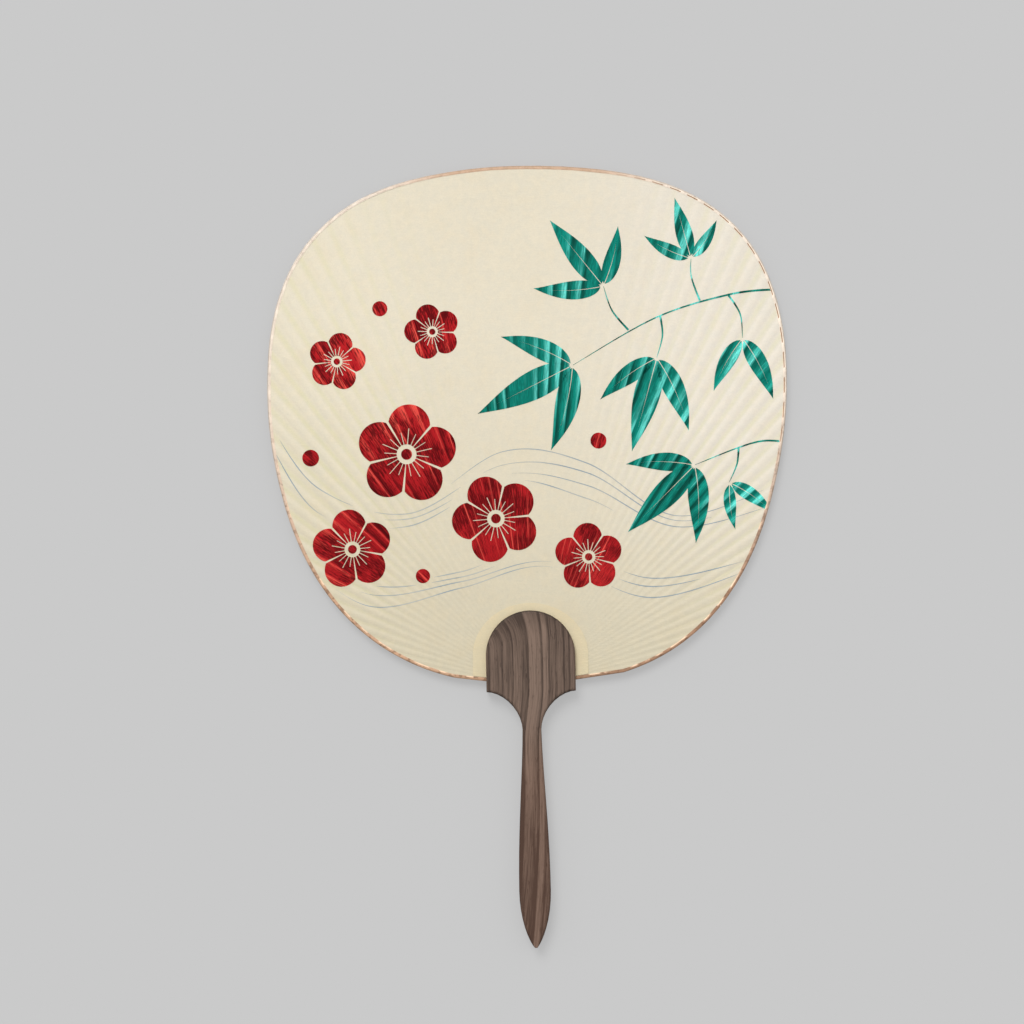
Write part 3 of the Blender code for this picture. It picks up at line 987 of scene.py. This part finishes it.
def foil_finish(name, dark, middle, highlight, flank_shading, crease_shade_and_glint):
    """Stamped metal foil, wrinkled along the ribs, with painted light: painted shade to light
    across each rib, painted shade in the creases and painted highlights on the crests.
    """
    material, nodes, shader, place = make_material(name)
    x, y, _ = nodes.split(place)
    nearest, way, pitch, radius = nearest_rib(nodes, DRAPE_SIZES, x, y)
    # Painted shade and light across each rib's flanks, dark on one side and light on the other
    share = nodes.maths("FRACT", (way - 0.0012) / pitch + 1)
    rise = nodes.smooth_step(share, 0.0, 0.8) - nodes.smooth_step(share, 0.86, 1.0)
    patch = nodes.noise(nodes.join(nearest * 3.7, radius * 24, 0), 1, 2)
    strength = nodes.smooth_step(patch, 0.25, 0.7) * nodes.smooth_step(pitch, 0.002, 0.006) * flank_shading
    # Painted sheen: broad patches of lighter and darker foil
    broad_sheen = nodes.noise(place, 17, 1)
    brushed = nodes.noise(polar_place(nodes, place, 280, 60), 1, 2, 0.6)
    value = 0.5 + (rise - 0.5) * strength + 1.5 * (broad_sheen - 0.5) + 0.6 * (brushed - 0.5)
    colour = nodes.blend(nodes.smooth_step(value, 0.0, 0.5), dark, middle)
    colour = nodes.blend(nodes.smooth_step(value, 0.55, 1.15), colour, highlight)
    # Painted shade in the creases along the ribs; the same creases give the bump its relief
    crinkle = nodes.noise(polar_place(nodes, place, 330, 190), 1, 2, 0.6)
    dense = nodes.smooth_step(nodes.noise(place, 70, 1), 0.3, 0.65)
    crinkle = nodes.smooth_step(crinkle + 0.16 * dense, 0.54, 0.66) * crease_shade_and_glint
    colour = nodes.blend(crinkle, colour, dark)
    # Painted highlight along each crest
    crest = 1 - nodes.smooth_step(abs(way), 0.0001, 0.0005)
    crest = crest * nodes.smooth_step(patch + 0.3 * brushed, 0.62, 0.8) * crease_shade_and_glint
    colour = nodes.blend(crest, colour, highlight)
    speck = nodes.noise(place, 2600, 1)
    plug(
        nodes, shader,
        Base_Color=nodes.tint(colour, 0.88 + 0.24 * speck),
        Metallic=0.85,
        Roughness=0.34 + 0.14 * brushed,
        Normal=bump(nodes, brushed - crinkle, 0.0001, 0.5),
    )
    return material


def copper_finish():
    """Crimped copper foil with painted light: a pale sheen with dashes of shade up the sides, and
    shade with runs of highlight below.
    """
    material, nodes, shader, place = make_material("copper_foil")
    x, y, _ = nodes.split(place)
    turn = nodes.maths("ARCTAN2", x, y - EDGE_MIDDLE_RISE)
    inward = nodes.add("ShaderNodeAttribute", {"attribute_name": "inward"}, None, 2)
    # Painted light round the edge: a pale painted sheen up the sides, painted shade below, darker
    # on the right
    pale = nodes.smooth_step(abs(turn), 0.22, 0.6)
    lower_shade = nodes.smooth_step(abs(turn), 1.2, 2.3)
    colour = nodes.blend(pale, srgb(217, 182, 153), srgb(254, 238, 220))
    across = nodes.smooth_step(x, -0.05, 0.05)
    lower_shade_colour = nodes.blend(across, srgb(205, 164, 132), srgb(170, 131, 103))
    colour = nodes.blend(lower_shade, colour, lower_shade_colour)
    _, way, pitch, _ = nearest_rib(nodes, DRAPE_SIZES, x, y)
    # Painted shade: dashes where the lap sinks into the valleys between ribs
    valley_dash_shade = nodes.smooth_step(inward, 0.5, 0.62) - nodes.smooth_step(inward, 0.8, 0.92)
    valley_dash_shade = valley_dash_shade * nodes.smooth_step(abs(way) / pitch, 0.16, 0.22)
    valley_dash_shade = valley_dash_shade * (0.15 + 0.85 * nodes.smooth_step(turn, 0.3, 0.6))
    valley_dash_shade = valley_dash_shade * (1 - nodes.smooth_step(abs(turn), 1.5, 1.9))
    colour = nodes.blend(valley_dash_shade * 0.95, colour, srgb(160, 112, 66))
    cloud = nodes.noise(place, 190, 2)
    # Painted highlights: runs along the inner lap below
    run = nodes.noise(nodes.join(turn * 12, 0, 0), 1, 1) + 0.3 * (cloud - 0.5)
    run = nodes.smooth_step(run, 0.49, 0.58) * nodes.smooth_step(inward, 0.5, 0.75) * lower_shade
    colour = nodes.blend(run, colour, srgb(255, 220, 186))
    mottle = nodes.smooth_step(nodes.noise(place, 420, 2), 0.5, 0.62) * (1 - run)
    colour = nodes.blend(mottle * (0.12 + 0.4 * lower_shade), colour, srgb(118, 84, 60))
    shaded = 1 - (1 - nodes.smooth_step(inward, 0.1, 0.42)) * (0.38 - 0.24 * lower_shade)
    crease = nodes.noise(place, 1400, 3, 0.6)
    plug(
        nodes, shader,
        Base_Color=nodes.tint(colour, (0.86 + 0.16 * crease + 0.18 * cloud) * shaded),
        Metallic=0.35,
        Roughness=0.42 + 0.2 * crease,
        Normal=bump(nodes, crease, 0.00008, 0.6),
    )
    return material


def ink_finish():
    """Thin printing ink, stronger in some places than in others."""
    material, nodes, shader, place = make_material("blue_grey_ink")
    patch = nodes.noise(place, 900, 2)
    faint = nodes.smooth_step(nodes.noise(place, 45, 1), 0.35, 0.65)
    colour = nodes.blend(faint, srgb(146, 162, 172), srgb(190, 190, 182))
    plug(
        nodes, shader,
        Base_Color=nodes.tint(colour, 0.92 + 0.16 * patch),
        Roughness=0.5 + 0.2 * patch,
        Normal=bump(nodes, patch, 0.00001),
    )
    return material


def bamboo_finish():
    """Split bamboo with its fibres along the rib."""
    material, nodes, shader, place = make_material("split_bamboo")
    grain = nodes.noise(polar_place(nodes, place, 900, 14), 1, 3, 0.6)
    pale = nodes.smooth_step(grain, 0.3, 0.7)
    colour = nodes.blend(pale, srgb(196, 168, 112), srgb(226, 205, 156))
    plug(
        nodes, shader,
        Base_Color=colour,
        Roughness=0.45 + 0.2 * grain,
        Normal=bump(nodes, grain, 0.00005),
    )
    return material


# Year rings of the board: where each dark line crosses the head, how dark it is, and how light
# the wood is to its right
RINGS = (
    (-0.02075, 0.80, 0.70),
    (-0.01450, 0.92, 0.62),
    (-0.00900, 1.00, 0.72),
    (-0.00375, 0.50, 0.50),
    (-0.00125, 0.85, 0.98),
    (0.00575, 1.00, 0.92),
    (0.00925, 0.90, 0.52),
    (0.01300, 0.95, 0.56),
    (0.01650, 1.00, 0.50),
    (0.01910, 0.95, 0.62),
)
RING_SPAN = 0.028
# The slopes of a dark line, how light the wood is where it starts, and at the board's left edge
LINE_BEFORE = 0.0011
LINE_AFTER = 0.0006
DIMMED_SHARE = 0.8
FIRST_LIGHT = 0.6
NECK_SHIFT = 0.0026
GRIP_BOW = 0.75
GRIP_STRIPE = 0.0075
GRIP_SPREAD = 0.13
HEAD_BOW = 7
HEAD_BOW_GROWTH = 90
HEAD_BOW_START = 0.019


def ring_place(nodes, x, y, z):
    """Distance across the year rings, which bow to the left up the head and down the grip."""
    neck = NECK_SHIFT * nodes.smooth_step(-1 * y, 0.0, 0.027)
    grip = GRIP_BOW * nodes.maths("MAXIMUM", -0.05 - y, 0) ** 2
    rise = nodes.maths("MAXIMUM", y - HEAD_BOW_START, 0)
    head = HEAD_BOW * nodes.maths("EXPONENT", x * -HEAD_BOW_GROWTH) * rise ** 2
    drift = nodes.noise(nodes.join(x * 40, y * 16, z * 40), 1, 2) - 0.5
    ring = x + neck + grip + head + 0.3 * (z - HANDLE_BOX[1].z) + 0.0012 * drift
    spread = GRIP_SPREAD * nodes.smooth_step(-1 * y, 0.03, 0.09)
    return ring + (GRIP_STRIPE - ring) * spread


def cedar_finish():
    """Planed cedar: year rings with a dark line each, fibres and pores."""
    material, nodes, shader, place = make_material("grey_brown_cedar")
    x, y, z = nodes.split(place)
    ring = ring_place(nodes, x, y, z)
    stops = [(0.0, (0.5, 0.5, 0.5, 1))]
    light = FIRST_LIGHT
    for edge, depth, after in RINGS:
        levels = (light * DIMMED_SHARE, light * (1 - depth), after)
        for offset, level in zip((-LINE_BEFORE, 0, LINE_AFTER), levels):
            share = (edge + offset + RING_SPAN) / (2 * RING_SPAN)
            stops.append((share, (level, level, level, 1)))
        light = after
    stops.append((1.0, (0.5, 0.5, 0.5, 1)))
    span = (ring + RING_SPAN) / (2 * RING_SPAN)
    year = nodes.add("ShaderNodeValToRGB", {"stops": stops}, {0: span})
    fibre = nodes.noise(nodes.join(ring * 1700, y * 60, z * 1700), 1, 3, 0.65)
    streak = nodes.noise(nodes.join(ring * 620, y * 12, z * 620), 1, 2, 0.55)
    pore = nodes.noise(nodes.join(ring * 1300, y * 260, z * 1300), 1, 2)
    pore = nodes.smooth_step(pore, 0.6, 0.72)
    shade = nodes.noise(nodes.join(x * 60, y * 22, z * 60), 1, 2)
    down = nodes.smooth_step(-1 * y, 0.03, 0.11) * 1.4
    heart = 1 - nodes.smooth_step(ring, 0.0050, 0.0060)
    rim = 1 - nodes.smooth_step(ring, -0.0031, -0.0019)
    below = nodes.smooth_step(-1 * y, 0.016, 0.04)
    dim = 0.04 + 0.36 * down * heart + (0.17 + 0.38 * rim) * below
    dim = dim + 0.34 * nodes.smooth_step(y - 0.35 * x, 0.022, 0.038)
    waves = (0.9 - 0.35 * down) * (streak - 0.5) + 1.7 * (fibre - 0.5)
    value = 0.04 + 0.93 * year + waves - 0.25 * pore - dim
    colour = nodes.blend(nodes.limit(value, 0, 1.3), srgb(70, 55, 46), srgb(132, 110, 96))
    colour = nodes.blend(nodes.smooth_step(-1 * y, 0.01, 0.05) * 0.07, colour, srgb(150, 70, 0))
    # End grain, darker, and in part painted shade on the edges that face the tip, away from the
    # lamp
    end = nodes.add("ShaderNodeAttribute", {"attribute_name": "end_grain"}, None, 2)
    plug(
        nodes, shader,
        Base_Color=nodes.tint(colour, (0.88 + 0.24 * shade) * (1 - 0.6 * end)),
        Roughness=0.55 + 0.25 * fibre,
        Normal=bump(nodes, fibre * 0.6 + streak * 0.4 + year * 0.3 - pore * 0.3, 0.00016, 0.7),
        Specular_IOR_Level=0.3,
    )
    return material


# Handle


def build_handle(finish):
    """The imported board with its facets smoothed."""
    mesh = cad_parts["handle"].data.copy()
    mesh.name = "handle_board"
    work = bmesh.new()
    work.from_mesh(mesh)
    bmesh.ops.remove_doubles(work, verts=work.verts, dist=MERGE_DISTANCE)
    bmesh.ops.dissolve_limit(work, angle_limit=FLAT_ANGLE, verts=work.verts, edges=work.edges)
    work.to_mesh(mesh)
    work.free()
    mesh.materials.clear()
    mesh.materials.append(finish)
    mesh.shade_smooth()
    mesh.set_sharp_from_angle(angle=BOARD_SHARP_ANGLE)
    # How far each side wall faces along the board: its end grain, darker, and in part painted
    # shade on the edges facing the tip
    end_grain_and_shade_shares = [abs(face.normal.y) if abs(face.normal.z) < 0.99 else 0 for face in mesh.polygons]
    add_layer(mesh, "end_grain", end_grain_and_shade_shares, "FACE")
    item = add_object("handle_board", mesh)
    even = item.modifiers.new("even_shading", "WEIGHTED_NORMAL")
    even.keep_sharp = True
    settle(item, "handle_wood", "handle")


# Stage, light and camera


FLOOR_COLOUR = srgb(202, 202, 202)
FLOOR_REACH = 14
FLOOR_GAP = 0.0001
SHADOW_SHARE = 0.36


def build_stage():
    """A plain floor, even to the eye, on which only a share of the shadow shows."""
    material, nodes, shader, _ = make_material("pale_floor")
    plug(nodes, shader, Base_Color=FLOOR_COLOUR, Roughness=1.0, Specular_IOR_Level=0.0)
    even = nodes.add("ShaderNodeEmission", None, {"Color": FLOOR_COLOUR})
    rays = nodes.add("ShaderNodeLightPath").socket.node.outputs
    seen_by = ("Is Camera Ray", "Is Glossy Ray", "Is Transmission Ray")
    share = (1 - SHADOW_SHARE) * sum(Wire(nodes, rays[name]) for name in seen_by)
    surface = Wire(nodes, shader.outputs[0])
    mixed = nodes.add("ShaderNodeMixShader", None, {0: share, 1: surface, 2: even})
    plug(nodes, material.node_tree.nodes["Material Output"], Surface=mixed)
    signs = ((-1, -1), (1, -1), (1, 1), (-1, 1))
    corners = [(x * FLOOR_REACH, y * FLOOR_REACH, 0) for x, y in signs]
    mesh = bpy.data.meshes.new("floor")
    mesh.from_pydata(corners, [], [(0, 1, 2, 3)])
    mesh.materials.append(material)
    floor = add_object("floor", mesh)
    floor.location.z = CAD_BOX[0].z - FLOOR_GAP


LAMP_SHARE = 0.4
LAMP_ZENITH = math.radians(40)
LAMP_TURN = math.radians(22)
LAMP_ANGLE = math.radians(30)
SKY_SLOPE = 0.34


def build_light():
    """One soft lamp from the leaf's crown over an even sky, 1 in all on a flat sheet."""
    lamp = bpy.data.lights.new("soft_lamp", "SUN")
    lamp.energy = LAMP_SHARE * math.pi / math.cos(LAMP_ZENITH)
    lamp.angle = LAMP_ANGLE
    add_object("soft_lamp", lamp).rotation_euler = (-LAMP_ZENITH, 0, LAMP_TURN)
    world = bpy.data.worlds.new("sky")
    world.use_nodes = True
    bpy.context.scene.world = world
    nodes = Nodes(world.node_tree)
    _, up_the_leaf, _ = nodes.split(nodes.add("ShaderNodeTexCoord", output="Generated"))
    strength = (1 - LAMP_SHARE) + SKY_SLOPE * up_the_leaf
    back = world.node_tree.nodes["Background"]
    back.inputs["Color"].default_value = (1, 1, 1, 1)
    world.node_tree.links.new(strength.socket, back.inputs["Strength"])


def build_camera():
    """Straight down on the leaf, with the photograph's scale and turn."""
    lens = bpy.data.cameras.new("camera")
    lens.lens = LENS
    lens.sensor_width = SENSOR
    item = add_object("camera", lens)
    right = Vector((math.cos(LEAF_TURN), -math.sin(LEAF_TURN), 0))
    upward = Vector((math.sin(LEAF_TURN), math.cos(LEAF_TURN), 0))
    across = (TURN_PIXEL[0] - PHOTO_SIZE / 2) * METRES_PER_PIXEL
    down = (TURN_PIXEL[1] - PHOTO_SIZE / 2) * METRES_PER_PIXEL
    aim = Vector((0, LEAF_TURN_RISE, LEAF_MIDDLE)) - right * across + upward * down
    distance = PHOTO_SIZE * METRES_PER_PIXEL * LENS / SENSOR
    item.location = aim + Vector((0, 0, distance))
    item.rotation_euler = (0, 0, -LEAF_TURN)
    bpy.context.scene.camera = item
    bpy.context.scene.view_settings.view_transform = "Standard"


build_camera()
build_light()
build_stage()

cream = paper_finish("cream_paper", srgb(210, 199, 171), srgb(233, 223, 200))
yellow = paper_finish("pale_yellow_paper", srgb(223, 208, 172), srgb(229, 215, 184), ridged=0.3)
teal = foil_finish(
    "teal_foil", srgb(2, 76, 64), srgb(9, 146, 129), srgb(118, 242, 228), flank_shading=1.1, crease_shade_and_glint=0.4
)
red = foil_finish(
    "red_foil", srgb(84, 2, 7), srgb(194, 31, 37), srgb(255, 92, 80), flank_shading=0.75, crease_shade_and_glint=0.85
)
bamboo = bamboo_finish()

build_handle(cedar_finish())
build_sheet("leaf_front", 1, FRONT_ROWS, "front_paper", cream)
build_sheet("leaf_back", -1, BACK_ROWS, "back_paper", cream)
build_strip(copper_finish())
build_collar("collar_front", 1, "front_collar", yellow)
build_collar("collar_back", -1, "back_collar", yellow)
build_figure("water_lines", water_outlines(), INK_LIFT, INK_THICKNESS, ink_finish())
build_figure("bamboo_grass", grass_outlines(), FOIL_LIFT, FOIL_THICKNESS, teal)
build_figure("plum_blossoms", blossom_outlines(), FOIL_LIFT, FOIL_THICKNESS, red)
for name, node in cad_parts.items():
    if name.startswith("rib_slip"):
        node.data.materials.clear()
        node.data.materials.append(bamboo)
